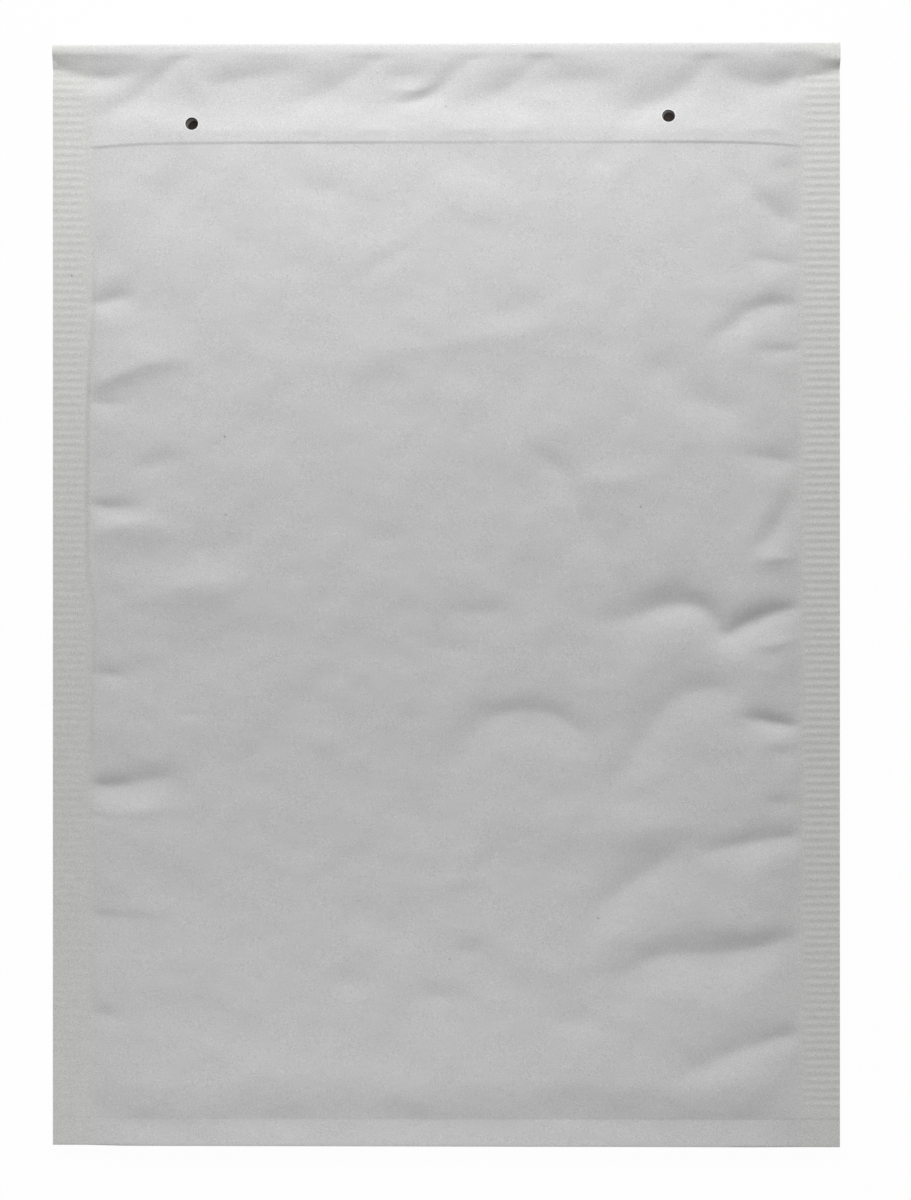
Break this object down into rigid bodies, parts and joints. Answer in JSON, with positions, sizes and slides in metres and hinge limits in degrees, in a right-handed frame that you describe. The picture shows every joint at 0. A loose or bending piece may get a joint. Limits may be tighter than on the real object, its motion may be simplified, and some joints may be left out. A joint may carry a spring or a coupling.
{
  "type": "bubble mailer",
  "caption": "Padded white paper mailer with ribbed side seals, bubble film lining, two punched fastener holes and a flap folded behind.",
  "frame": {"origin": "middle of the back panel, on the plane that the mailer rests on", "axes": "+Y towards the folded top edge, +X towards the right side seal seen from the front, +Z out of the front panel"},
  "size_m": [0.25, 0.35, 0.0068],
  "materials": {
    "white_kraft_paper": "uncoated matt",
    "bubble_film": "clear soft film",
    "adhesive": "tacky hot melt",
    "release_paper": "silicone coated"
  },
  "bodies": {
    "root": {"paper_envelope": "white_kraft_paper", "bubble_liner": "bubble_film", "adhesive_strip": "adhesive", "release_strip": "release_paper"}
  },
  "joints": []
}
